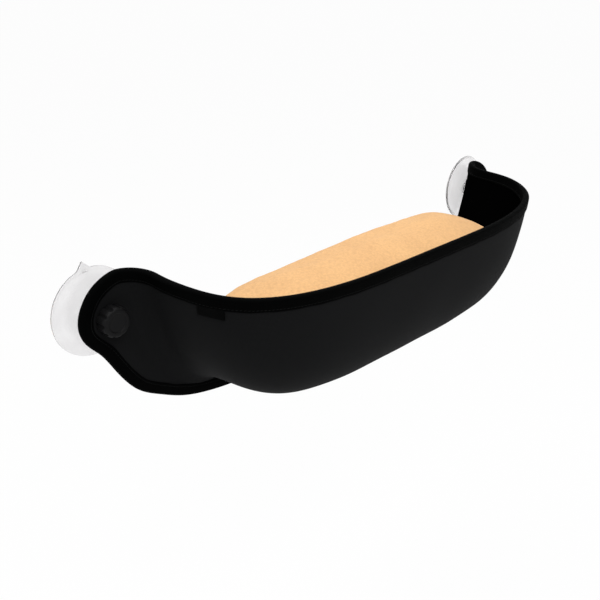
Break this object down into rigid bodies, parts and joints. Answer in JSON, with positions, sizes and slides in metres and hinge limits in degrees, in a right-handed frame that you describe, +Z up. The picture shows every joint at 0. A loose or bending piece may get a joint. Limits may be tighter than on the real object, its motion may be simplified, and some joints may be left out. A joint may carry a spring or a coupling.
{
  "type": "window mounted cat perch",
  "caption": "Sling bed for a cat on a window pane: a black fabric hull with ears, held by suction cups and screw knobs, with a fleece cushion.",
  "frame": {"origin": "on the window pane, midway between the centres of the suction cups", "axes": "+X along the pane to the viewer's right, +Y into the pane, +Z up"},
  "size_m": [0.73, 0.1752, 0.1813],
  "materials": {
    "black_fabric": "matt knitted face",
    "stiff_core": "smooth sheet",
    "black_tape": "ribbed tape",
    "label_fabric": "smooth woven, bare",
    "peach_fleece": "short soft pile",
    "fibre_filling": "loose fibre",
    "clear_cup": "soft clear plastic",
    "zinc_steel": "zinc plated",
    "dark_steel": "black painted",
    "black_plastic": "satin"
  },
  "bodies": {
    "bed": {"outer_cover": "black_fabric", "lining": "black_fabric", "core_sheet": "stiff_core", "rim_binding": "black_tape", "back_binding": "black_tape", "rim_label": "label_fabric", "eyelet_front_left": "dark_steel", "eyelet_back_left": "dark_steel", "eyelet_front_right": "dark_steel", "eyelet_back_right": "dark_steel"},
    "cushion": {"cushion_cover": "peach_fleece", "cushion_filling": "fibre_filling"},
    "cup_left": {"suction_cup_left": "clear_cup", "stud_left": "zinc_steel"},
    "washer_left": {"washer_left": "dark_steel"},
    "knob_left": {"knob_left": "black_plastic", "knob_insert_left": "zinc_steel"},
    "cup_right": {"suction_cup_right": "clear_cup", "stud_right": "zinc_steel"},
    "washer_right": {"washer_right": "dark_steel"},
    "knob_right": {"knob_right": "black_plastic", "knob_insert_right": "zinc_steel"}
  },
  "joints": [
    {"name": "cup_turn_left", "type": "hinge", "parent": "bed", "child": "cup_left", "pos_m": [-0.32, -0.023, 0], "axis": [0, 1, 0], "continuous": true},
    {"name": "washer_slide_left", "type": "slide", "parent": "cup_left", "child": "washer_left", "axis": [0, -1, 0], "range_m": [0, 0.00374]},
    {"name": "knob_turn_left", "type": "hinge", "parent": "washer_left", "child": "knob_left", "pos_m": [-0.32, -0.034, 0], "axis": [0, -1, 0], "range_deg": [0, 1080]},
    {"name": "cup_turn_right", "type": "hinge", "parent": "bed", "child": "cup_right", "pos_m": [0.32, -0.023, 0], "axis": [0, 1, 0], "continuous": true},
    {"name": "washer_slide_right", "type": "slide", "parent": "cup_right", "child": "washer_right", "axis": [0, -1, 0], "range_m": [0, 0.00374]},
    {"name": "knob_turn_right", "type": "hinge", "parent": "washer_right", "child": "knob_right", "pos_m": [0.32, -0.034, 0], "axis": [0, -1, 0], "range_deg": [0, 1080]},
    {"name": "cushion_lift", "type": "slide", "parent": "bed", "child": "cushion", "axis": [0, 0, 1], "range_m": [0, 0.15]}
  ],
  "couplings": [
    {"joint": "knob_turn_left", "follows": "washer_slide_left", "rad_per_m": 5026.5},
    {"joint": "knob_turn_right", "follows": "washer_slide_right", "rad_per_m": 5026.5}
  ]
}
